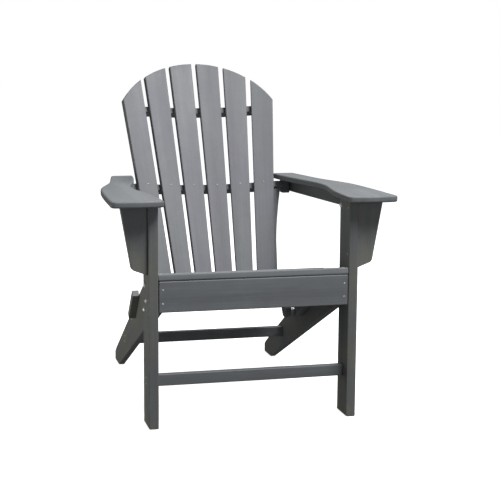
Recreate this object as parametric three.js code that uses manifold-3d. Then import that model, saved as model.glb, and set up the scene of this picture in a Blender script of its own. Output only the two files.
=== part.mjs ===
// Adirondack chair in grey poly lumber.
// Millimetres, +Z up, the sitter faces -Y; left is the -X side, as seen from in front.
// Boards are laid out with Y = 0 at the front face of the legs and Z = 0 on the floor;
// the last lines move the whole chair so that its footprint is centred on the origin.
import * as THREE from 'three';
import { mergeVertices } from 'three/addons/utils/BufferGeometryUtils.js';
import Module from 'manifold-3d';

const wasm = await Module();
wasm.setup();

// ---------------------------------------------------------------- driving dimensions
const BOARD = 20; // thickness of the common board
const GAP = 0.3; // air left between boards that touch
const EDGE = 3; // radius worked on board edges

const LEG = { inner: 263.2, outer: 290, depth: 83.8, height: 600.7 };
const ARM = { under: LEG.height + GAP, thickness: 17.3, front: -30, rear: 655 };
const STRINGER_INNER = LEG.inner - GAP - BOARD + 0.4;
const STRINGER_OUTER = LEG.inner - GAP;

const SEAT = {
  frontZ: 421.6, // height of the seat's surface over the legs' front faces
  frontFall: THREE.MathUtils.degToRad(10.5),
  fall: THREE.MathUtils.degToRad(29.7), // behind the knee
  throughY: 245, // a point that the steeper part runs through
  throughZ: 351,
  knee: 180, // radius of the bend between them
};
const SEAT_SLAT = { start: 3.5, width: 69.5, frontWidth: 70, gap: 8, count: 6 };

const BACK = {
  y: 631.8, // where the face of the back crosses z = 600 on the centre plane
  z: 600,
  lean: THREE.MathUtils.degToRad(26.1),
  hollow: 980, // radius of the hollow across the back
  slats: 6,
  pitch: 73.9, // slat spacing at z = 600
  pitchGrowth: 0.0339, // and how it grows per mm up the fan
  half: 30.5, // half width of a slat at z = 600
  halfGrowth: 0.0147,
  outerHalf: 32.6, // the same for the free edges of the two outermost slats
  outerHalfGrowth: 0.0094,
  foot: -414, // lower end of the slats
  archRadius: 283,
  archCentre: 118,
};
const BAR = { depth: 36, mid: -15.5, top: 246, low: -385, offset: BOARD + 1.5 };

// ---------------------------------------------------------------- materials
const board = (color) => new THREE.MeshStandardMaterial({ color, roughness: 0.62, metalness: 0 });
const steel = () => new THREE.MeshStandardMaterial({ color: 0xc9cbcc, roughness: 0.3, metalness: 1 });
const GREY = 0x84878b;

// ---------------------------------------------------------------- shape helpers
const { sin, cos, tan, sqrt, hypot, atan2 } = Math;

// A closed outline through corners [x, y, radius], each corner rounded by its radius.
function roundedOutline(corners) {
  const shape = new THREE.Shape();
  const count = corners.length;
  corners.forEach(([x, y, radius = 0], i) => {
    const before = corners[(i + count - 1) % count];
    const after = corners[(i + 1) % count];
    const corner = new THREE.Vector2(x, y);
    const back = new THREE.Vector2(before[0], before[1]).sub(corner).normalize();
    const on = new THREE.Vector2(after[0], after[1]).sub(corner).normalize();
    const reach = radius / tan(back.angleTo(on) / 2);
    const start = corner.clone().addScaledVector(back, reach);
    const end = corner.clone().addScaledVector(on, reach);
    if (i === 0) shape.moveTo(start.x, start.y);
    else shape.lineTo(start.x, start.y);
    if (radius > 0) shape.quadraticCurveTo(x, y, end.x, end.y);
  });
  shape.closePath();
  return shape;
}

const rectangle = (x0, y0, x1, y1) => roundedOutline([[x0, y0], [x1, y0], [x1, y1], [x0, y1]]);

// A board cut to an outline, with its long edges rounded over; it fills z = 0 to thickness.
function cutBoard(outline, thickness, edge = EDGE, curveSegments = 6) {
  const geometry = new THREE.ExtrudeGeometry(outline, {
    depth: thickness - 2 * edge,
    bevelThickness: edge,
    bevelSize: edge,
    bevelOffset: -edge,
    bevelSegments: 3,
    curveSegments,
  });
  return geometry.translate(0, 0, edge);
}

// Which way a board's outline (x, y) and thickness (z) lie in the chair.
const basis = (x, y, z) => new THREE.Quaternion().setFromRotationMatrix(new THREE.Matrix4().makeBasis(x, y, z));
const X = new THREE.Vector3(1, 0, 0);
const Y = new THREE.Vector3(0, 1, 0);
const Z = new THREE.Vector3(0, 0, 1);
const SIDEWAYS = basis(Y, Z, X); // outline in Y and Z, thickness along +X
const FACING = basis(X, Z, Y.clone().negate()); // outline in X and Z, thickness along -Y

const chair = new THREE.Group();
function add(name, geometry, material, parent = chair) {
  const mesh = new THREE.Mesh(geometry, material);
  mesh.name = name;
  parent.add(mesh);
  return mesh;
}

// Left and right copies of a board whose outline lies in Y and Z.
function sidePair(name, outline, near, thickness, drill = (geometry) => geometry) {
  for (const [side, x] of [['left', -near - thickness], ['right', near]]) {
    const mesh = add(`${name}_${side}`, drill(cutBoard(outline, thickness)), board(GREY));
    mesh.quaternion.copy(SIDEWAYS);
    mesh.position.x = x;
  }
}

// ---------------------------------------------------------------- drilled holes
function toSolid(geometry) {
  const bare = geometry.clone();
  bare.deleteAttribute('normal');
  bare.deleteAttribute('uv');
  const welded = mergeVertices(bare, 1e-4);
  return new wasm.Manifold(new wasm.Mesh({
    numProp: 3,
    vertProperties: new Float32Array(welded.attributes.position.array),
    triVerts: new Uint32Array(welded.index.array),
  }));
}

function fromSolid(solid) {
  const mesh = solid.getMesh();
  const geometry = new THREE.BufferGeometry();
  geometry.setAttribute('position', new THREE.BufferAttribute(mesh.vertProperties, 3));
  geometry.setIndex(new THREE.BufferAttribute(mesh.triVerts, 1));
  geometry.computeVertexNormals();
  return geometry;
}

const HOLE = 4.6; // radius of a bolt hole
// Drills holes through a board along its thickness, at outline points [x, y].
const drilled = (points) => (geometry) => {
  let solid = toSolid(geometry);
  for (const [x, y] of points) {
    const bit = new THREE.CylinderGeometry(HOLE, HOLE, 200, 20).rotateX(Math.PI / 2).translate(x, y, 0);
    solid = solid.subtract(toSolid(bit));
  }
  return fromSolid(solid);
};

// ---------------------------------------------------------------- legs
const LEG_BOLTS = [[51, 383.5], [32, 345], [64, 315]];
const RAIL_BOLT = [73, 584];
const legOutline = rectangle(0, 0, LEG.depth, LEG.height);
sidePair('front_leg', legOutline, LEG.inner, LEG.outer - LEG.inner, drilled([...LEG_BOLTS, RAIL_BOLT]));

// ---------------------------------------------------------------- seat line
// The seat falls gently from the front, bends over a knee and falls more steeply to the back.
const steepZ = (y) => SEAT.throughZ - (y - SEAT.throughY) * tan(SEAT.fall);
const kneeY = (steepZ(0) - SEAT.frontZ) / (tan(SEAT.fall) - tan(SEAT.frontFall));
const kneeTurn = SEAT.fall - SEAT.frontFall;
const bendStart = kneeY / cos(SEAT.frontFall) - SEAT.knee * tan(kneeTurn / 2);
const bendLength = SEAT.knee * kneeTurn;
const bendCentre = {
  y: bendStart * cos(SEAT.frontFall) - SEAT.knee * sin(SEAT.frontFall),
  z: SEAT.frontZ - bendStart * sin(SEAT.frontFall) - SEAT.knee * cos(SEAT.frontFall),
};

// Place and fall of the seat's surface at a distance along it, sunk by a depth square to it.
function seatAt(distance, depth = 0) {
  const before = Math.min(distance - bendStart, 0);
  const bend = Math.min(Math.max(distance - bendStart, 0), bendLength);
  const after = Math.max(distance - bendStart - bendLength, 0);
  const fall = SEAT.frontFall + bend / SEAT.knee;
  const along = before + after;
  const radius = SEAT.knee - depth;
  return {
    y: bendCentre.y + radius * sin(fall) + along * cos(fall),
    z: bendCentre.z + radius * cos(fall) - along * sin(fall),
    fall,
  };
}

// ---------------------------------------------------------------- stringers
const TAIL = { rear: 805, footFront: 728, frontY: BOARD + GAP, frontZ: 319, corner: 42 };
const NOTCH = SEAT_SLAT.start + SEAT_SLAT.frontWidth + 2; // length cut down for the front slat
const BACK_BOLT = [451, 213];

function stringerOutline() {
  const bendEnd = seatAt(bendStart + bendLength);
  const notchTop = seatAt(NOTCH);
  const notchFloor = seatAt(NOTCH, BOARD + GAP);
  const frontTop = notchFloor.z + (notchFloor.y - TAIL.frontY) * tan(SEAT.frontFall);
  const tailTop = steepZ(TAIL.rear);
  const shape = new THREE.Shape();
  shape.moveTo(TAIL.frontY, TAIL.frontZ + 6);
  shape.quadraticCurveTo(TAIL.frontY, TAIL.frontZ, TAIL.frontY + 6, TAIL.frontZ - 6 * 0.435);
  shape.lineTo(TAIL.footFront, 0);
  shape.lineTo(TAIL.rear - 6, 0);
  shape.quadraticCurveTo(TAIL.rear, 0, TAIL.rear, 6);
  shape.lineTo(TAIL.rear, tailTop - 6);
  const upEdge = [TAIL.rear - TAIL.corner * cos(SEAT.fall), tailTop + TAIL.corner * sin(SEAT.fall)];
  shape.quadraticCurveTo(TAIL.rear, tailTop, upEdge[0], upEdge[1]);
  shape.lineTo(bendEnd.y, bendEnd.z);
  const quarter = Math.PI / 2;
  shape.absarc(bendCentre.y, bendCentre.z, SEAT.knee, quarter - SEAT.fall, quarter - SEAT.frontFall, false);
  shape.lineTo(notchTop.y, notchTop.z);
  shape.lineTo(notchFloor.y, notchFloor.z);
  shape.lineTo(TAIL.frontY, frontTop);
  shape.closePath();
  return shape;
}
const stringerHoles = drilled([...LEG_BOLTS, BACK_BOLT]);
sidePair('stringer', stringerOutline(), STRINGER_INNER, STRINGER_OUTER - STRINGER_INNER, stringerHoles);

// A short square cleat on the outer face of each stringer, set at a steep slant.
const CLEAT = { y: 308, z: 305, length: 112, size: BOARD, fall: THREE.MathUtils.degToRad(46.8) };
for (const side of [-1, 1]) {
  const outline = rectangle(0, 0, CLEAT.length, CLEAT.size);
  const mesh = add(`stringer_cleat_${side < 0 ? 'left' : 'right'}`, cutBoard(outline, CLEAT.size, 1.5), board(GREY));
  const down = new THREE.Vector3(0, cos(CLEAT.fall), -sin(CLEAT.fall));
  const up = new THREE.Vector3(0, sin(CLEAT.fall), cos(CLEAT.fall));
  mesh.quaternion.copy(basis(down, up, X));
  const inner = STRINGER_OUTER + GAP;
  mesh.position.set(side > 0 ? inner : -inner - CLEAT.size, CLEAT.y, CLEAT.z);
}

// ---------------------------------------------------------------- apron and stretchers
function crossBoard(name, half, z0, z1, front) {
  const mesh = add(name, cutBoard(rectangle(-half, z0, half, z1), BOARD), board(GREY));
  mesh.quaternion.copy(FACING);
  mesh.position.y = front + BOARD;
}
const BETWEEN_LEGS = LEG.inner - 0.6;
const BETWEEN_STRINGERS = STRINGER_INNER - GAP;
crossBoard('front_stretcher', BETWEEN_LEGS, 109, 141.5, 33.2);
crossBoard('rear_stretcher', BETWEEN_STRINGERS, 99.8, 132, 582.4);

// The apron's top edge is planed to the fall of the seat.
const APRON = { bottom: 316.8, half: BETWEEN_LEGS - 1.4 };
const apronTop = seatAt(0, BOARD + 0.8).z;
const apronSection = roundedOutline([
  [0, APRON.bottom, EDGE],
  [BOARD, APRON.bottom, EDGE],
  [BOARD, apronTop - BOARD * tan(SEAT.frontFall), EDGE],
  [0, apronTop, EDGE],
]);
const apron = add('apron', cutBoard(apronSection, 2 * APRON.half, 1), board(GREY));
apron.quaternion.copy(SIDEWAYS);
apron.position.x = -APRON.half;

// ---------------------------------------------------------------- seat
// The front slat spans the legs and has the roundest edges; the others lie between the stringers.
for (let i = 0; i < SEAT_SLAT.count; i += 1) {
  const isFront = i === 0;
  const width = isFront ? SEAT_SLAT.frontWidth : SEAT_SLAT.width;
  const passed = SEAT_SLAT.frontWidth + SEAT_SLAT.gap + (i - 1) * (SEAT_SLAT.width + SEAT_SLAT.gap);
  const start = SEAT_SLAT.start + (isFront ? 0 : passed);
  const half = isFront ? BETWEEN_LEGS - 0.4 : BETWEEN_STRINGERS - GAP;
  const place = seatAt(start + width / 2, BOARD);
  const outline = rectangle(-half, -width / 2, half, width / 2);
  const mesh = add(`seat_slat_${i + 1}`, cutBoard(outline, BOARD, isFront ? 5 : EDGE), board(GREY));
  mesh.rotation.x = -place.fall;
  mesh.position.set(0, place.y, place.z);
}

// Rails on the inner faces of the stringers carry the seat slats.
function seatRailOutline() {
  const steps = 14;
  const from = NOTCH + 2;
  const until = SEAT_SLAT.start + SEAT_SLAT.count * (SEAT_SLAT.width + SEAT_SLAT.gap) - SEAT_SLAT.gap - 34;
  const edge = (depth) => {
    const points = [];
    for (let i = 0; i <= steps; i += 1) {
      const place = seatAt(from + ((until - from) * i) / steps, depth);
      points.push(new THREE.Vector2(place.y, place.z));
    }
    return points;
  };
  return new THREE.Shape([...edge(62), ...edge(BOARD + 1.2).reverse()]);
}
sidePair('seat_rail', seatRailOutline(), BETWEEN_STRINGERS - BOARD, BOARD - GAP);

// ---------------------------------------------------------------- arms
function armOutline(side) {
  const at = (x, y) => [side * x, y];
  const shape = new THREE.Shape();
  const r = 12;
  shape.moveTo(...at(251, ARM.front + r));
  shape.quadraticCurveTo(...at(251, ARM.front), ...at(251 + r, ARM.front - 3));
  shape.quadraticCurveTo(...at(318, ARM.front - 14), ...at(379, ARM.front - 3));
  shape.quadraticCurveTo(...at(391, ARM.front), ...at(391, ARM.front + r));
  shape.bezierCurveTo(...at(388, 80), ...at(385, 190), ...at(376, 275));
  shape.bezierCurveTo(...at(369, 350), ...at(337, 400), ...at(322, 480));
  shape.bezierCurveTo(...at(312, 535), ...at(304, 590), ...at(294, ARM.rear - 10));
  shape.quadraticCurveTo(...at(291, ARM.rear), ...at(281, ARM.rear));
  shape.lineTo(...at(235, ARM.rear));
  shape.quadraticCurveTo(...at(225, ARM.rear), ...at(226, ARM.rear - 9));
  shape.bezierCurveTo(...at(232, 560), ...at(253, 475), ...at(272, 395));
  shape.bezierCurveTo(...at(284, 345), ...at(285, 280), ...at(272, 215));
  shape.bezierCurveTo(...at(262, 160), ...at(251, 90), ...at(251, ARM.front + r));
  return shape;
}
for (const side of [-1, 1]) {
  const mesh = add(`arm_${side < 0 ? 'left' : 'right'}`, cutBoard(armOutline(side), ARM.thickness, 4.5, 12), board(GREY));
  mesh.position.z = ARM.under;
}

// Tapered brackets under the arms, on the outer faces of the legs.
for (const side of [-1, 1]) {
  const near = side * (LEG.outer + GAP);
  const outline = roundedOutline([
    [near, 416.8],
    [side * 333, 433, 14],
    [side * 362, LEG.height],
    [near, LEG.height],
  ]);
  const mesh = add(`arm_bracket_${side < 0 ? 'left' : 'right'}`, cutBoard(outline, BOARD, 2), board(GREY));
  mesh.quaternion.copy(FACING);
  mesh.position.y = 10 + BOARD;
}

// Rails under the arms run from the legs back to the ends of the middle crossbar, toed in a little.
const ARM_RAIL = { front: 36, length: 614, nearFront: 291.4, nearRear: 276.3, depthFront: 25, depthRear: 40 };
const toeIn = atan2(ARM_RAIL.nearFront - ARM_RAIL.nearRear, ARM_RAIL.length);
for (const side of [-1, 1]) {
  const { length, depthFront, depthRear } = ARM_RAIL;
  const outline = roundedOutline([
    [0, -depthFront, 3],
    [length, -depthRear, 3],
    [length, 0],
    [0, 0],
  ]);
  const geometry = cutBoard(outline, BOARD, 1.5);
  const boltAlong = (RAIL_BOLT[0] - ARM_RAIL.front - (side * BOARD * sin(toeIn)) / 2) / cos(toeIn);
  const rail = drilled([[boltAlong, RAIL_BOLT[1] - LEG.height]])(geometry);
  const mesh = add(`arm_rail_${side < 0 ? 'left' : 'right'}`, rail, board(GREY));
  const along = new THREE.Vector3(-side * sin(toeIn), cos(toeIn), 0);
  mesh.quaternion.copy(basis(along, Z, new THREE.Vector3().crossVectors(along, Z)));
  const near = side > 0 ? ARM_RAIL.nearFront : -ARM_RAIL.nearFront - BOARD;
  mesh.position.set(near, ARM_RAIL.front, LEG.height);
}

// Blocks between those rails and the ends of the middle crossbar.
const ARM_BLOCK = { near: 249.6, thickness: 26, front: 630, rear: 657, bottom: 556.5 };
sidePair(
  'arm_block',
  rectangle(ARM_BLOCK.front, ARM_BLOCK.bottom, ARM_BLOCK.rear, LEG.height),
  ARM_BLOCK.near,
  ARM_BLOCK.thickness,
);

// ---------------------------------------------------------------- back
// In this group x runs across the back, y up along it and z out of its face.
const back = new THREE.Group();
back.position.set(0, BACK.y, BACK.z);
back.rotation.x = Math.PI / 2 - BACK.lean;
chair.add(back);

const pitchAt = (v) => BACK.pitch + BACK.pitchGrowth * v;
const hollowAt = (u) => (u * u) / (2 * BACK.hollow); // how far the face stands forward at u

// The frame of one slat: its middle at the middle crossbar, its own axes in the back's group.
function slatFrame(index) {
  const place = index - (BACK.slats - 1) / 2;
  const point = (v) => {
    const u = place * pitchAt(v);
    return new THREE.Vector3(u, v, hollowAt(u));
  };
  const origin = point(BAR.mid);
  const up = point(BAR.top).sub(origin).normalize();
  const cant = point((BAR.mid + BAR.top) / 2).x / BACK.hollow;
  const across = new THREE.Vector3(1, 0, cant);
  across.addScaledVector(up, -across.dot(up)).normalize();
  const out = new THREE.Vector3().crossVectors(across, up);
  const fan = atan2(point(BAR.top).x - origin.x, BAR.top - BAR.mid);
  return { origin, up, across, out, fan };
}

const halfAt = (t) => BACK.half + BACK.halfGrowth * (t + BAR.mid);
const outerHalfAt = (t) => BACK.outerHalf + BACK.outerHalfGrowth * (t + BAR.mid);

// One slat: tapered, square at the foot, its top cut to the arch of the whole back.
function slatOutline({ origin, fan }, index) {
  const rightHalf = index === BACK.slats - 1 ? outerHalfAt : halfAt;
  const leftHalf = index === 0 ? outerHalfAt : halfAt;
  const fromOrigin = [-origin.x, BACK.archCentre - origin.y];
  const centre = [
    fromOrigin[0] * cos(fan) - fromOrigin[1] * sin(fan),
    fromOrigin[0] * sin(fan) + fromOrigin[1] * cos(fan),
  ];
  const foot = BACK.foot - BAR.mid;
  const topAt = (s) => centre[1] + sqrt(BACK.archRadius ** 2 - (s - centre[0]) ** 2);
  const sideTop = (side, edgeAt) => {
    let t = topAt(0);
    for (let i = 0; i < 6; i += 1) t = topAt(side * edgeAt(t));
    return [side * edgeAt(t), t];
  };
  const right = sideTop(1, rightHalf);
  const left = sideTop(-1, leftHalf);
  const angle = ([s, t]) => atan2(t - centre[1], s - centre[0]);
  const shape = new THREE.Shape();
  shape.moveTo(-leftHalf(foot), foot);
  shape.lineTo(rightHalf(foot), foot);
  shape.lineTo(right[0], right[1]);
  shape.absarc(centre[0], centre[1], BACK.archRadius, angle(right), angle(left), false);
  shape.closePath();
  return shape;
}

for (let i = 0; i < BACK.slats; i += 1) {
  const frame = slatFrame(i);
  const mesh = add(`back_slat_${i + 1}`, cutBoard(slatOutline(frame, i), BOARD, EDGE, 10), board(GREY), back);
  mesh.quaternion.copy(basis(frame.across, frame.up, frame.out));
  mesh.position.copy(frame.origin).addScaledVector(frame.out, -BOARD);
}

// Crossbars are boards on edge behind the slats, their front edges cut to the hollow.
function crossbar(name, v, half, offset, curved = half) {
  const shape = new THREE.Shape();
  const steps = 16;
  const edge = [];
  for (let i = -steps; i <= steps; i += 1) {
    const x = (curved * i) / steps;
    const u = x / (1 + offset / BACK.hollow);
    edge.push([x, hollowAt(u) - offset / hypot(1, u / BACK.hollow)]);
  }
  const end = edge[0][1];
  if (curved < half) {
    edge.unshift([-half, end]);
    edge.push([half, end]);
  }
  shape.moveTo(-half, end - BAR.depth);
  shape.quadraticCurveTo(0, -offset - BAR.depth - (end + offset), half, end - BAR.depth);
  edge.reverse().forEach(([u, n]) => shape.lineTo(u, n));
  shape.closePath();
  const mesh = add(name, cutBoard(shape, BOARD, 2, 12), board(GREY), back);
  mesh.quaternion.copy(basis(X, Z, Y.clone().negate()));
  mesh.position.y = v + BOARD / 2;
}
const FOOT_BLOCK = { near: 208.5, thickness: BOARD, half: 21 };
crossbar('crossbar_top', BAR.top, 212, BAR.offset);
crossbar('crossbar_middle', BAR.mid, 249.2, BAR.offset, 216);
crossbar('crossbar_low', BAR.low, FOOT_BLOCK.near - GAP, BAR.offset + 1.6);

// Stiles behind the outermost slats, between the middle and low crossbars, flared at the top.
for (const side of [-1, 1]) {
  const frame = slatFrame(side < 0 ? 0 : BACK.slats - 1);
  const top = -14;
  const foot = BAR.low - BAR.mid + BOARD / 2 + 5;
  const shape = new THREE.Shape();
  const at = (s, t) => [side * s, t];
  shape.moveTo(...at(39.5, foot));
  shape.lineTo(...at(38, -190));
  shape.bezierCurveTo(...at(38, -130), ...at(47, -60), ...at(53, top));
  shape.lineTo(...at(-14, top));
  shape.lineTo(...at(-14, foot));
  shape.closePath();
  const mesh = add(`back_stile_${side < 0 ? 'left' : 'right'}`, cutBoard(shape, BOARD, 2, 10), board(GREY), back);
  mesh.quaternion.copy(basis(frame.across, frame.up, frame.out));
  mesh.position.copy(frame.origin).addScaledVector(frame.out, -2 * BOARD - 0.8);
}

// Foot blocks at the ends of the low crossbar take the bolts through the stringers.
function footOutline() {
  const up = [sin(BACK.lean), cos(BACK.lean)];
  const out = [-up[1], up[0]];
  const at = (along, across) => [
    BACK_BOLT[0] + up[0] * along + out[0] * across,
    BACK_BOLT[1] + up[1] * along + out[1] * across,
  ];
  const { half } = FOOT_BLOCK;
  const shape = new THREE.Shape();
  shape.moveTo(...at(62, half));
  shape.lineTo(...at(0, half));
  const turn = atan2(out[1], out[0]);
  shape.absarc(BACK_BOLT[0], BACK_BOLT[1], half, turn, turn + Math.PI, false);
  shape.lineTo(...at(62, -half));
  shape.closePath();
  return shape;
}
sidePair('back_foot', footOutline(), FOOT_BLOCK.near, FOOT_BLOCK.thickness, drilled([BACK_BOLT]));

// ---------------------------------------------------------------- bolts
// A bolt is turned about its own axis: [radius, distance] points from the domed head to the tip.
function turned(profile) {
  return new THREE.LatheGeometry(profile.map(([r, d]) => new THREE.Vector2(r, d)), 20);
}
const SHANK = 4;
const dome = [[0, -5], [3.5, -4.6], [6, -3.2], [7.6, -1], [7.8, -GAP], [SHANK, -GAP]];

// The bolt's head seats on x = seat; it runs inwards (towards x = 0) or outwards.
function bolt(name, side, seat, inwards, [y, z], rest) {
  const mesh = add(name, turned([...dome, ...rest]), steel());
  const direction = side * (inwards ? -1 : 1);
  mesh.rotation.z = -direction * (Math.PI / 2);
  mesh.position.set(side * seat, y, z);
  return mesh;
}
const nutFrom = (d) => [[SHANK, d + GAP], [6.4, d + GAP], [6.4, d + 6], [5, d + 7.5], [0, d + 7.5]];
for (const side of [-1, 1]) {
  const label = side < 0 ? 'left' : 'right';
  const throughLeg = LEG.outer - STRINGER_INNER;
  LEG_BOLTS.forEach((point, i) => {
    bolt(`leg_bolt_${label}_${i + 1}`, side, LEG.outer, true, point, nutFrom(throughLeg));
  });
  bolt(`rail_bolt_${label}`, side, LEG.inner, false, RAIL_BOLT, [[SHANK, 42], [0, 42]]);
  const inner = STRINGER_OUTER - STRINGER_INNER;
  const reach = STRINGER_OUTER - FOOT_BLOCK.near - 2;
  bolt(`back_bolt_${label}`, side, STRINGER_OUTER, true, BACK_BOLT, [
    [SHANK, inner + GAP], [7, inner + GAP], [7, inner + 6], [SHANK, inner + 6],
    [SHANK, inner + 9], [8.5, inner + 9], [8.5, inner + 11], [SHANK, inner + 11],
    [SHANK, reach], [0, reach],
  ]);
}

// ---------------------------------------------------------------- centre the footprint
chair.updateMatrixWorld(true);
const extent = new THREE.Box3().setFromObject(chair, true);
chair.position.y = -(extent.min.y + extent.max.y) / 2;
chair.updateMatrixWorld(true);

export default chair;
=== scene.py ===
"""Looks of the grey poly-lumber adirondack chair: materials, small screws, light and camera."""
import random
from math import cos, pi, radians, sin

import bmesh
import bpy
from mathutils import Matrix, Vector

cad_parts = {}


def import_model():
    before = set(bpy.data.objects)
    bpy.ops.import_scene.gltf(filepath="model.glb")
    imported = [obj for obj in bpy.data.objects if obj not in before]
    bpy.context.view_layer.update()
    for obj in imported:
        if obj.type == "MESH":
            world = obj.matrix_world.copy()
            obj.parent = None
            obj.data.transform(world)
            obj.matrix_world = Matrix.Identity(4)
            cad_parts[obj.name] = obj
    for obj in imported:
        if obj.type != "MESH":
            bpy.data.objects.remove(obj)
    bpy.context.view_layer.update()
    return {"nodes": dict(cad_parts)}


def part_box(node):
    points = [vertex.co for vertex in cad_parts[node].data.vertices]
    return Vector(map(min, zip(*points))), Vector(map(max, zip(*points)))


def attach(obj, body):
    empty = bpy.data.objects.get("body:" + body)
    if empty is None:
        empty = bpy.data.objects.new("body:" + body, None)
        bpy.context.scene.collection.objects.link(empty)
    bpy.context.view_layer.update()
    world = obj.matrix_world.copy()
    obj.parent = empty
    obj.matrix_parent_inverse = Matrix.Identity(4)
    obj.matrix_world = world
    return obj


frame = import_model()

NODES = frame["nodes"]
SEED = 7  # the first material's seed; each further node's material takes the next number

# ------------------------------------------------------------------ where things are
X = Vector((1, 0, 0))
Y = Vector((0, 1, 0))
Z = Vector((0, 0, 1))
MM = 0.001

LEG_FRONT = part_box("front_leg_left")[0].y  # the plane of the legs' front faces
LEG_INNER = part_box("front_leg_right")[0].x
LEG_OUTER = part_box("front_leg_right")[1].x
STRINGER_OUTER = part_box("stringer_right")[1].x
BOARD = 0.020  # thickness of the boards
SEAT_SLATS = 6


def at(x, y, z):
    """A point in the chair's layout: millimetres, y from the front face of the legs."""
    return Vector((x * MM, LEG_FRONT + y * MM, z * MM))


# The back is a fan of slats on a hollow surface that leans to the rear. On that surface u runs
# sideways from the middle and v runs up from the origin.
BACK_ORIGIN = at(0, 631.8, 600)
LEAN = radians(26.1)
UP = Vector((0, sin(LEAN), cos(LEAN)))
OUT = Vector((0, -cos(LEAN), sin(LEAN)))
HOLLOW = 0.980  # radius of the hollow
SLATS = 6
SLAT_PITCH = 0.0739  # spacing of the slats at v = 0
PITCH_GROWTH = 0.0339  # and how it grows up the fan

# The crossbars behind the slats: v of each, and depth of their rear faces behind the slats' front.
BAR_TOP = 0.246
BAR_MIDDLE = -0.0155
BAR_LOW = -0.385
BAR_REAR = BOARD + 0.0015 + 0.036
BAR_LOW_REAR = BAR_REAR + 0.0016


def back_point(u, v):
    return BACK_ORIGIN + X * u + UP * v + OUT * (u * u / (2 * HOLLOW))


def slat_u(index, v):
    return (index - (SLATS - 1) / 2) * (SLAT_PITCH + PITCH_GROWTH * v)


def slat_axes(index):
    """A slat's middle at the middle crossbar, and its along, across and out directions."""
    origin = back_point(slat_u(index, BAR_MIDDLE), BAR_MIDDLE)
    along = (back_point(slat_u(index, BAR_TOP), BAR_TOP) - origin).normalized()
    cant = slat_u(index, (BAR_MIDDLE + BAR_TOP) / 2) / HOLLOW
    across = X + OUT * cant
    across = (across - along * across.dot(along)).normalized()
    return origin, along, across, across.cross(along)


# ------------------------------------------------------------------ shader node helpers
MIX_FACTOR, MIX_A, MIX_B, MIX_RESULT = 0, 6, 7, 2  # colour sockets of Blender's Mix node


class Nodes:
    """Adds and links the shader nodes of one material, or of the world."""

    def __init__(self, material):
        material.use_nodes = True
        self.tree = material.node_tree
        self.tree.nodes.clear()

    def add(self, kind, inputs=None, **settings):
        """A node with settings; an input is a value or another node's output socket."""
        node = self.tree.nodes.new(kind)
        for key, value in settings.items():
            setattr(node, key, value)
        for socket, value in (inputs or {}).items():
            if isinstance(value, bpy.types.NodeSocket):
                self.tree.links.new(value, node.inputs[socket])
            else:
                node.inputs[socket].default_value = value
        return node

    def moved(self, vector, shift):
        return self.add("ShaderNodeVectorMath", {0: vector, 1: shift}, operation="ADD").outputs["Vector"]

    def dot(self, vector, direction):
        node = self.add("ShaderNodeVectorMath", {0: vector, 1: direction}, operation="DOT_PRODUCT")
        return node.outputs["Value"]

    def math(self, operation, a, b, clamp=False):
        return self.add("ShaderNodeMath", {0: a, 1: b}, operation=operation, use_clamp=clamp).outputs[0]

    def noise(self, vector, scale, detail, roughness=0.55):
        inputs = {"Vector": vector, "Scale": scale, "Detail": detail, "Roughness": roughness}
        return self.add("ShaderNodeTexNoise", inputs).outputs["Fac"]

    def span(self, value, low, high, to_low, to_high):
        """Maps low..high to to_low..to_high, clamped."""
        inputs = {"Value": value, "From Min": low, "From Max": high, "To Min": to_low, "To Max": to_high}
        return self.add("ShaderNodeMapRange", inputs).outputs["Result"]

    def grey(self, value):
        channels = {"Red": value, "Green": value, "Blue": value}
        return self.add("ShaderNodeCombineColor", channels).outputs[0]

    def mix(self, factor, a, b, blend="MIX"):
        inputs = {MIX_FACTOR: factor, MIX_A: a, MIX_B: b}
        return self.add("ShaderNodeMix", inputs, data_type="RGBA", blend_type=blend).outputs[MIX_RESULT]

    def place(self):
        return self.add("ShaderNodeTexCoord").outputs["Object"]

    def stretched(self, coords, along, across, out, squeeze):
        """Coordinates whose first axis runs along the board, squeezed so that noise turns into grain."""
        axes = {
            "X": self.math("MULTIPLY", self.dot(coords, along), squeeze),
            "Y": self.dot(coords, across),
            "Z": self.dot(coords, out),
        }
        return self.add("ShaderNodeCombineXYZ", axes).outputs[0]

    def bump(self, strength, distance, height):
        inputs = {"Strength": strength, "Distance": distance, "Height": height}
        return self.add("ShaderNodeBump", inputs).outputs[0]

    def finish(self, principled):
        shader = self.add("ShaderNodeBsdfPrincipled", principled).outputs[0]
        self.add("ShaderNodeOutputMaterial", {"Surface": shader})


def random_shift(rng):
    """Moves a material's noise, so that no two boards have the same streaks."""
    return tuple(rng.uniform(-5, 5) for _ in range(3))


# ------------------------------------------------------------------ poly lumber
LUMBER_GREY = Vector((0.197, 0.207, 0.219))
TINT_SPREAD = 0.03  # how much boards differ in brightness
# Each board drifts in cloudy patches from the grey towards one of these multiples of it. The patches are
# mottling; the hue is painted light, olive for boards seen on their shaded sides and violet for the lit
# back slats.
TEAL = Vector((0.97, 1.005, 0.99))
VIOLET = Vector((1.03, 0.98, 1.055))
OLIVE = Vector((1.08, 1.05, 0.87))
RUBBED_GREY = (0.30, 0.31, 0.325, 1)
RUBBED_WIDTH = 0.0035
GROUND_DUST = (0.21, 0.195, 0.17, 1)
DUSTY_HEIGHT = 0.05


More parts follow.
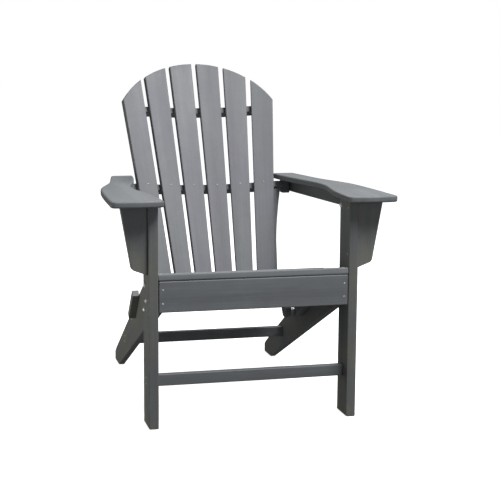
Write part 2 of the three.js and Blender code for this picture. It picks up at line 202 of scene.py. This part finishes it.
def lumber(name, along, across, seed, shade, painted_tint):
    """Extruded grey board: fine lengthwise streaks, soft mottling, a dull waxy skin, rubbed edges, and
    painted shade and tint.
    """
    material = bpy.data.materials.new(name)
    n = Nodes(material)
    rng = random.Random(seed)
    out = along.cross(across)
    place = n.place()
    coords = n.moved(place, random_shift(rng))

    broad_streaks = n.noise(n.stretched(coords, along, across, out, 0.05), 26, 3)
    fine_streaks = n.noise(n.stretched(coords, along, across, out, 0.02), 260, 4, 0.6)
    cloud = n.noise(coords, 7, 4)
    pebble = n.noise(coords, 900, 2)
    dust = n.noise(coords, 38, 5, 0.65)

    # Painted light: the board's darkness factor stands in for the shade it sits in, and the hue it
    # drifts to stands in for the tint of light and shade on it.
    base = LUMBER_GREY * shade * (1 + rng.uniform(-TINT_SPREAD, TINT_SPREAD))
    base_with_painted_tint = base * painted_tint
    colour = n.mix(n.span(cloud, 0.38, 0.62, 0.0, 1.0), (*base, 1), (*base_with_painted_tint, 1))
    for pattern, contrast in ((broad_streaks, 0.14), (fine_streaks, 0.10), (dust, 0.05), (cloud, 0.06)):
        gain = n.span(pattern, 0.25, 0.75, 1 - contrast, 1 + contrast)
        colour = n.mix(1.0, colour, n.grey(gain), "MULTIPLY")

    # Rubbed edges: the rounded normal leaves the face's own normal only near an edge.
    normal = n.add("ShaderNodeNewGeometry").outputs["Normal"]
    rounded = n.add("ShaderNodeBevel", {"Radius": RUBBED_WIDTH}, samples=4).outputs[0]
    edge = n.span(n.dot(normal, rounded), 0.995, 0.86, 0.0, 1.0)
    rubbed = n.math("MULTIPLY", edge, n.span(dust, 0.35, 0.65, 0.15, 0.6), clamp=True)
    colour = n.mix(rubbed, colour, RUBBED_GREY)

    # Dust and scuffs where the feet meet the ground.
    height = n.add("ShaderNodeSeparateXYZ", {0: place}).outputs["Z"]
    near_ground = n.span(height, 0.0, DUSTY_HEIGHT, 1.0, 0.0)
    dusted = n.math("MULTIPLY", near_ground, n.span(dust, 0.45, 0.62, 0.0, 0.55), clamp=True)
    colour = n.mix(dusted, colour, GROUND_DUST)

    streaky = n.span(fine_streaks, 0.3, 0.7, 0.47, 0.57)
    roughness = n.math("ADD", streaky, n.span(cloud, 0.3, 0.7, -0.04, 0.06))
    skin = n.math("ADD", fine_streaks, n.math("MULTIPLY", pebble, 0.35))
    skin = n.math("ADD", skin, n.math("MULTIPLY", broad_streaks, 0.8))
    n.finish({
        "Base Color": colour,
        "Roughness": roughness,
        "IOR": 1.5,
        "Specular IOR Level": 0.42,
        "Sheen Weight": 0.06,
        "Sheen Roughness": 0.5,
        "Normal": n.bump(0.32, 0.0005, skin),
    })
    return material


# ------------------------------------------------------------------ stainless steel
STEEL_BRIGHT = Vector((0.94, 0.94, 0.93))
STEEL_STAINED = Vector((0.50, 0.48, 0.45))


def steel(name, seed, shade, dull):
    """Turned stainless: fine brushing, cloudy roughness and patchy stains."""
    material = bpy.data.materials.new(name)
    n = Nodes(material)
    coords = n.moved(n.place(), random_shift(random.Random(seed)))
    cloud = n.noise(coords, 240, 4)
    brushing = n.noise(n.stretched(coords, X, Y, Z, 0.2), 2600, 3)
    bright = (*(STEEL_BRIGHT * shade), 1)
    stained = (*(STEEL_STAINED * shade), 1)
    brushed = n.span(brushing, 0.3, 0.7, 0.30 + dull, 0.40 + dull)
    n.finish({
        "Base Color": n.mix(n.span(cloud, 0.42, 0.7, 0.0, 0.6), bright, stained),
        "Metallic": 0.55,
        "Roughness": n.math("ADD", brushed, n.span(cloud, 0.4, 0.7, 0.0, 0.1)),
        "Normal": n.bump(0.25, 0.0001, brushing),
    })
    return material


# ------------------------------------------------------------------ smooth rounded edges on the boards
CRISP_ANGLE = radians(50)
WELD_DISTANCE = 1e-6


def smoothing_group():
    """Geometry nodes that shade round-overs smoothly and keep corners steeper than CRISP_ANGLE crisp."""
    group = bpy.data.node_groups.new("smooth_round_overs", "GeometryNodeTree")
    group.interface.new_socket("Geometry", in_out="INPUT", socket_type="NodeSocketGeometry")
    group.interface.new_socket("Geometry", in_out="OUTPUT", socket_type="NodeSocketGeometry")
    start = group.nodes.new("NodeGroupInput")
    end = group.nodes.new("NodeGroupOutput")
    weld = group.nodes.new("GeometryNodeMergeByDistance")
    weld.inputs["Distance"].default_value = WELD_DISTANCE
    faces = group.nodes.new("GeometryNodeSetShadeSmooth")
    faces.domain = "FACE"
    edges = group.nodes.new("GeometryNodeSetShadeSmooth")
    edges.domain = "EDGE"
    edges.inputs["Shade Smooth"].default_value = False
    angle = group.nodes.new("GeometryNodeInputMeshEdgeAngle")
    steep = group.nodes.new("FunctionNodeCompare")
    steep.data_type = "FLOAT"
    steep.operation = "GREATER_THAN"
    steep.inputs["B"].default_value = CRISP_ANGLE
    group.links.new(start.outputs[0], weld.inputs["Geometry"])
    group.links.new(weld.outputs["Geometry"], faces.inputs["Geometry"])
    group.links.new(faces.outputs["Geometry"], edges.inputs["Geometry"])
    group.links.new(angle.outputs["Unsigned Angle"], steep.inputs["A"])
    group.links.new(steep.outputs["Result"], edges.inputs["Selection"])
    group.links.new(edges.outputs["Geometry"], end.inputs[0])
    return group


SMOOTHING = smoothing_group()


def soften(obj):
    obj.modifiers.new("smooth", "NODES").node_group = SMOOTHING
    weighted = obj.modifiers.new("weighted", "WEIGHTED_NORMAL")
    weighted.keep_sharp = True
    weighted.weight = 60


# ------------------------------------------------------------------ finish of every CAD node
def down_slope(fall):
    """Direction that runs to the rear and falls by this angle."""
    return Vector((0, cos(fall), -sin(fall)))


DOWN_STRINGER = down_slope(radians(29.7))
UP_STRINGER = X.cross(DOWN_STRINGER)
DOWN_CLEAT = down_slope(radians(46.8))

# The tables below are looked up by the start of a node's name, and the longest match counts.
# Along and across directions of the boards:
GRAIN = {
    "front_leg": (Z, Y),
    "stringer_cleat": (DOWN_CLEAT, X),
    "stringer": (DOWN_STRINGER, UP_STRINGER),
    "seat_rail": (DOWN_STRINGER, UP_STRINGER),
    "apron": (X, Z),
    "front_stretcher": (X, Z),
    "rear_stretcher": (X, Z),
    "seat_slat": (X, Y),
    "arm_bracket": (Z, X),
    "arm_rail": (Y, Z),
    "arm_block": (Y, Z),
    "arm": (Y, X),
    "crossbar": (X, UP),
    "back_foot": (UP, OUT),
}
# Painted shade: these boards are made darker than the rest to stand in for the shade that falls on them
# under the seat and arms and low down:
PAINTED_SHADE = {
    "front_leg": 0.84,
    "front_stretcher": 0.92,
    "rear_stretcher": 0.72,
    "stringer_cleat": 0.95,
    "stringer": 0.86,
    "arm_bracket": 0.95,
    "arm_rail": 0.6,
    "arm_block": 0.8,
}
# Painted tint of light and shade, as the hue of the boards that aren't teal:
PAINTED_TINTS = {
    "back_slat": VIOLET,
    "front_leg": OLIVE,
    "stringer": OLIVE,
    "arm_bracket": OLIVE,
}


def first_match(table, node, default=None):
    for key in sorted(table, key=len, reverse=True):
        if node.startswith(key):
            return table[key]
    return default


def grain(node):
    """Along and across directions of a board; those of the back follow the fan."""
    if node.startswith("back_slat"):
        return slat_axes(int(node[-1]) - 1)[1:3]
    if node.startswith("back_stile"):
        return slat_axes(0 if node.endswith("left") else SLATS - 1)[1:3]
    return first_match(GRAIN, node)


def finish_of(node, seed):
    """Material of a CAD node. The topmost leg bolts take a darker copy of the bolt steel, as painted
    shade, with a rougher finish.
    """
    if "bolt" not in node:
        along, across = grain(node)
        shade = first_match(PAINTED_SHADE, node, 1.0)
        return lumber(f"lumber_{node}", along, across, seed, shade, first_match(PAINTED_TINTS, node, TEAL))
    if node.startswith("leg_bolt") and node.endswith("_1"):
        return steel(f"steel_{node}", seed, shade=0.8, dull=0.08)
    return steel(f"steel_{node}", seed, shade=1.0, dull=0.0)


for offset, (node, obj) in enumerate(sorted(NODES.items())):
    obj.data.materials.clear()
    obj.data.materials.append(finish_of(node, SEED + offset))
    soften(obj)


# ------------------------------------------------------------------ small screws
SCREW_RADIUS = 0.0030
SCREW_PROUD = 0.0009
SCREW_SUNK = 0.0002  # how far the rim lies under the surface
DOME = [(1.0, 0.0), (0.97, 0.35), (0.86, 0.68), (0.66, 0.9), (0.42, 1.0)]  # radius and height factors
RECESS = [(0.40, 0.16, 0.98), (0.32, 0.128, 0.15)]  # arm tip, waist between arms, height: rim and bottom
ARM_COSINE = 0.93  # a vertex this close to an axis of the cross is on one of its arms
SIDES = 24


def screw_head(bm, place, out, turn):
    """Adds a domed head with a cross recess, sitting at place and facing out."""
    axes = out.to_track_quat("Z", "Y").to_matrix() @ Matrix.Rotation(turn, 3, "Z")

    def ring(height, reach):
        vertices = []
        for k in range(SIDES):
            angle = 2 * pi * k / SIDES
            radius = SCREW_RADIUS * reach(angle)
            local = Vector((radius * cos(angle), radius * sin(angle), SCREW_PROUD * height))
            vertices.append(bm.verts.new(place + axes @ local))
        return vertices

    def cross(tip, waist):
        return lambda angle: tip if max(abs(cos(angle)), abs(sin(angle))) > ARM_COSINE else waist

    loops = [ring(height, lambda angle, radius=radius: radius) for radius, height in DOME]
    loops += [ring(height, cross(tip, waist)) for tip, waist, height in RECESS]
    for lower, upper in zip(loops, loops[1:]):
        for k in range(SIDES):
            after = (k + 1) % SIDES
            bm.faces.new((lower[k], lower[after], upper[after], upper[k]))
    bm.faces.new(loops[-1])
    bm.faces.new(list(reversed(loops[0])))


def screws(name, spots, material):
    """One object for a set of like screws; spots are (place on a surface, outward direction)."""
    rng = random.Random(name)
    bm = bmesh.new()
    for place, out in spots:
        screw_head(bm, place - out * SCREW_SUNK, out, rng.uniform(0, pi))
    bmesh.ops.recalc_face_normals(bm, faces=bm.faces)
    mesh = bpy.data.meshes.new(name)
    bm.to_mesh(mesh)
    bm.free()
    mesh.materials.append(material)
    obj = bpy.data.objects.new(name, mesh)
    bpy.context.scene.collection.objects.link(obj)
    soften(obj)
    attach(obj, "root")


def back_screws():
    """One through each slat into the middle crossbar, and one from behind through each other bar."""
    above_middle = 0.0015
    from_front = []
    from_behind = []
    for i in range(SLATS):
        origin, along, _, out = slat_axes(i)
        from_front.append((origin + along * above_middle, out))
        for v, depth in ((BAR_TOP, BAR_REAR), (BAR_LOW, BAR_LOW_REAR)):
            from_behind.append((back_point(slat_u(i, v), v) - out * depth, -out))
    return from_front, from_behind


def apron_screws():
    """Through the apron into the ends of the stringers, stacked in pairs."""
    return [(at(side * 251.5, 0, z), -Y) for side in (-1, 1) for z in (377, 340)]


def side_screws():
    """Through the legs into the brackets, and through legs and stringers into the stretchers."""
    rows = (
        # x of the face, y, heights, and 1 where the face looks outwards
        (LEG_INNER, 14, (583, 456), -1),
        (LEG_OUTER, 43, (117, 133), 1),
        (STRINGER_OUTER, 592, (107, 125), 1),
    )
    spots = []
    for side in (-1, 1):
        for face, y, heights, outwards in rows:
            for z in heights:
                spots.append((at(side * face / MM, y, z), X * side * outwards))
    return spots


def top_face(node):
    """Centre and outward direction of the flat top of a CAD piece."""
    flatness = 1e-5
    obj = NODES[node]
    face = max((p for p in obj.data.polygons if p.normal.z > 0.5), key=lambda p: p.area)
    flat = [v.co for v in obj.data.vertices if abs((v.co - face.center).dot(face.normal)) < flatness]
    low = Vector(min(c[k] for c in flat) for k in range(3))
    high = Vector(max(c[k] for c in flat) for k in range(3))
    normal = (obj.matrix_world.to_3x3() @ face.normal).normalized()
    return obj.matrix_world @ ((low + high) / 2), normal


def seat_screws():
    """Two at each end of a slat: the front slat's go into the stringers, the others' into the rails."""
    over_stringer, over_rail = 0.2531, 0.2330
    from_middle_line = 0.019
    spots = []
    for number in range(1, SEAT_SLATS + 1):
        centre, normal = top_face(f"seat_slat_{number}")
        level = normal.cross(X)
        inset = over_stringer if number == 1 else over_rail
        for side in (-1, 1):
            for step in (-from_middle_line, from_middle_line):
                spots.append((centre + X * side * inset + level * step, normal))
    return spots


SCREW_STEEL = steel("screw_steel", 901, shade=0.75, dull=0.12)
# Painted shade: the back slats' screws take a much darker copy of the same screw steel.
SLAT_SCREW_STEEL_PAINTED_SHADE = steel("slat_screw_steel_painted_shade", 902, shade=0.42, dull=0.16)
front_of_back, behind_back = back_screws()
screws("back_slat_screws", front_of_back, SLAT_SCREW_STEEL_PAINTED_SHADE)
screws("crossbar_screws", behind_back, SCREW_STEEL)
screws("apron_screws", apron_screws(), SCREW_STEEL)
screws("side_screws", side_screws(), SCREW_STEEL)
screws("seat_screws", seat_screws(), SCREW_STEEL)

# ------------------------------------------------------------------ floor, light and camera
FLOOR_REACH = 30.0
FLOOR_DROP = 0.0006  # keeps the floor just clear of the feet
FLOOR_GLOW = 0.93  # makes it as bright as the backdrop, apart from the chair's shadow


def floor():
    """A wide pale floor that lights nothing, so that the chair's undersides stay dark."""
    corners = [(x * FLOOR_REACH, y * FLOOR_REACH, 0) for x, y in ((-1, -1), (1, -1), (1, 1), (-1, 1))]
    mesh = bpy.data.meshes.new("floor")
    mesh.from_pydata(corners, [], [(0, 1, 2, 3)])
    material = bpy.data.materials.new("pale_floor")
    n = Nodes(material)
    n.finish({
        "Base Color": n.grey(n.span(n.noise(n.place(), 3, 4), 0.3, 0.7, 0.86, 0.9)),
        "Roughness": 0.9,
        "Specular IOR Level": 0.1,
        "Emission Color": (1, 1, 1, 1),
        "Emission Strength": FLOOR_GLOW,
    })
    mesh.materials.append(material)
    obj = bpy.data.objects.new("floor", mesh)
    obj.location.z = -FLOOR_DROP
    obj.visible_diffuse = False
    obj.visible_glossy = False
    bpy.context.scene.collection.objects.link(obj)


def area_light(name, place, target, size, power, colour=(1, 1, 1)):
    data = bpy.data.lights.new(name, "AREA")
    data.shape = "RECTANGLE"
    data.size, data.size_y = size
    data.energy = power
    data.color = colour
    obj = bpy.data.objects.new(name, data)
    obj.location = place
    obj.rotation_euler = (Vector(target) - Vector(place)).to_track_quat("-Z", "Y").to_euler()
    bpy.context.scene.collection.objects.link(obj)


def world(ambient):
    """A white backdrop for the camera, and a dim cool sky for everything else."""
    studio = bpy.data.worlds.new("studio")
    bpy.context.scene.world = studio
    n = Nodes(studio)
    sky = n.add("ShaderNodeBackground", {"Color": (0.95, 0.98, 1, 1), "Strength": ambient}).outputs[0]
    backdrop = n.add("ShaderNodeBackground", {"Color": (1, 1, 1, 1), "Strength": 1.0}).outputs[0]
    seen = n.add("ShaderNodeLightPath").outputs["Is Camera Ray"]
    shader = n.add("ShaderNodeMixShader", {0: seen, 1: sky, 2: backdrop}).outputs[0]
    n.add("ShaderNodeOutputWorld", {"Surface": shader})


CAMERA_PLACE = at(-846.2, -3232.0, 1003.7)
CAMERA_YAW = radians(14.414)  # to the right of straight ahead
CAMERA_PITCH = radians(8.932)  # down
CAMERA_ROLL = radians(0.400)
SENSOR_WIDTH = 36.0
LENS = 91.21392


def camera():
    """The photograph's view: long lens, from the chair's left side in front, looking slightly down."""
    level = Vector((sin(CAMERA_YAW), cos(CAMERA_YAW), 0))
    ahead = level * cos(CAMERA_PITCH) - Z * sin(CAMERA_PITCH)
    right = Vector((cos(CAMERA_YAW), -sin(CAMERA_YAW), 0))
    up = right.cross(ahead)
    rolled_right = right * cos(CAMERA_ROLL) + up * sin(CAMERA_ROLL)
    rolled_up = up * cos(CAMERA_ROLL) - right * sin(CAMERA_ROLL)
    matrix = Matrix((rolled_right, rolled_up, -ahead)).transposed().to_4x4()
    matrix.translation = CAMERA_PLACE
    data = bpy.data.cameras.new("camera")
    data.sensor_width = SENSOR_WIDTH
    data.lens = LENS
    data.clip_end = 200.0
    obj = bpy.data.objects.new("camera", data)
    obj.matrix_world = matrix
    bpy.context.scene.collection.objects.link(obj)
    bpy.context.scene.camera = obj


floor()
# Each light has a place, a point that it faces, a size, a power and, where it isn't white, a colour.
area_light("key", (1.3, -1.95, 4.4), (0, 0.05, 0.6), (2.0, 1.5), 214)
area_light("fill_front", (0.5, -3.3, 0.8), (0, 0, 0.5), (2.4, 1.0), 9)
area_light("fill_left", (-1.25, 0.1, 0.25), (0, 0.1, 0.25), (1.3, 0.5), 4.2, (1, 0.99, 0.86))
area_light("back_rim", (0.7, 2.3, 3.1), (0, 0, 0.6), (1.8, 1.4), 42)
world(ambient=0.095)
camera()
bpy.context.scene.view_settings.view_transform = "Standard"
bpy.context.scene.view_settings.look = "None"
